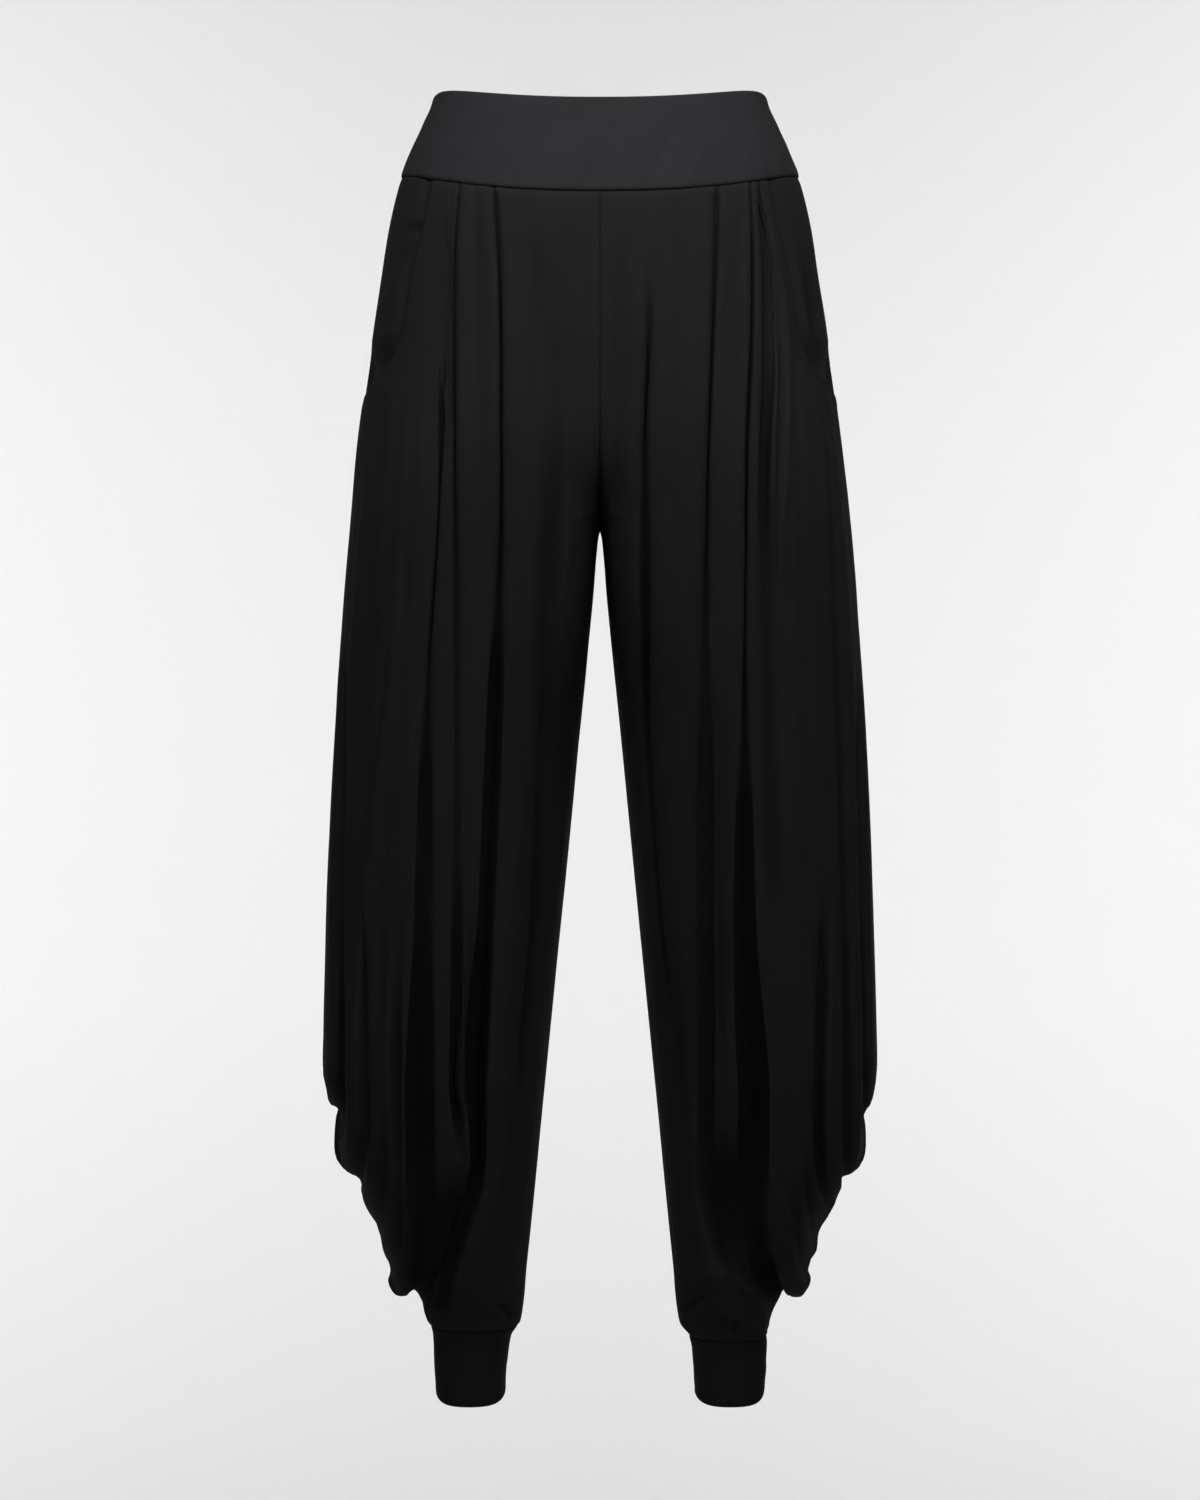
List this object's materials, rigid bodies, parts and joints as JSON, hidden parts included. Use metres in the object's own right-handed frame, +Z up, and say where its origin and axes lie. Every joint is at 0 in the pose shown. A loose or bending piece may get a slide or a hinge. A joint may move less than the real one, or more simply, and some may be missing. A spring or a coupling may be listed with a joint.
{
  "type": "draped trousers",
  "caption": "Draped harem trousers with a wide fitted waistband, pleated legs whose folds hang in loops at the calf, and narrow ankle cuffs.",
  "frame": {"origin": "middle of the waist opening, level with the waistband's top edge at the sides", "axes": "+Z up out of the waist opening, -Y to the front, +X to the wearer's left"},
  "size_m": [0.4324, 0.264, 1.022],
  "materials": {
    "jersey": "matte"
  },
  "bodies": {
    "root": {"waistband_front": "jersey", "waistband_back": "jersey", "front_left": "jersey", "front_right": "jersey", "back_left": "jersey", "back_right": "jersey", "hip_left": "jersey", "hip_right": "jersey", "cuff_left": "jersey", "cuff_right": "jersey"}
  },
  "joints": []
}
